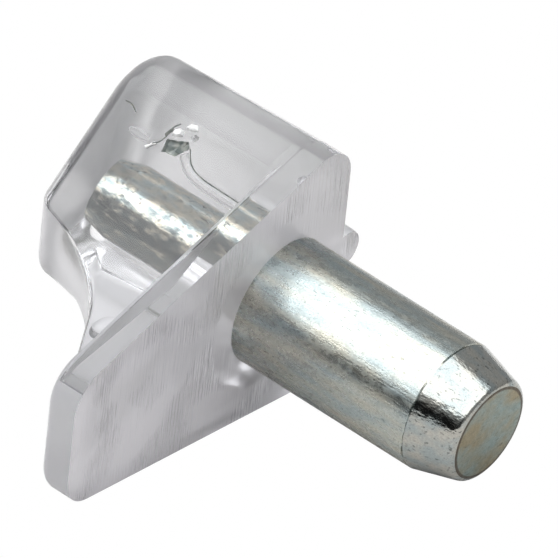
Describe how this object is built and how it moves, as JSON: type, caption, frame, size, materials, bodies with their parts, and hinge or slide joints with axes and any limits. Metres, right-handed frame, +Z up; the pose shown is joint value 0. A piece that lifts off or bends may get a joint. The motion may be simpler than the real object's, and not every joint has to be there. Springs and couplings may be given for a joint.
{
  "type": "shelf support pin",
  "caption": "Shelf support with a round steel pin and a clear plastic body that has a flat seat, a tapered back plate and a gusset.",
  "frame": {"origin": "on the pin's axis at the wall face of the back plate, which lies on the cabinet side", "axes": "+X along the pin into the cabinet side, +Z up, out of the seat that carries the shelf, and Y across the plate"},
  "size_m": [0.0184, 0.0108, 0.0157],
  "materials": {
    "zinc_plated_steel": "zinc plated, slightly grainy",
    "clear_plastic": "clear, gloss"
  },
  "bodies": {
    "root": {"steel_pin": "zinc_plated_steel", "clear_body": "clear_plastic"}
  },
  "joints": []
}
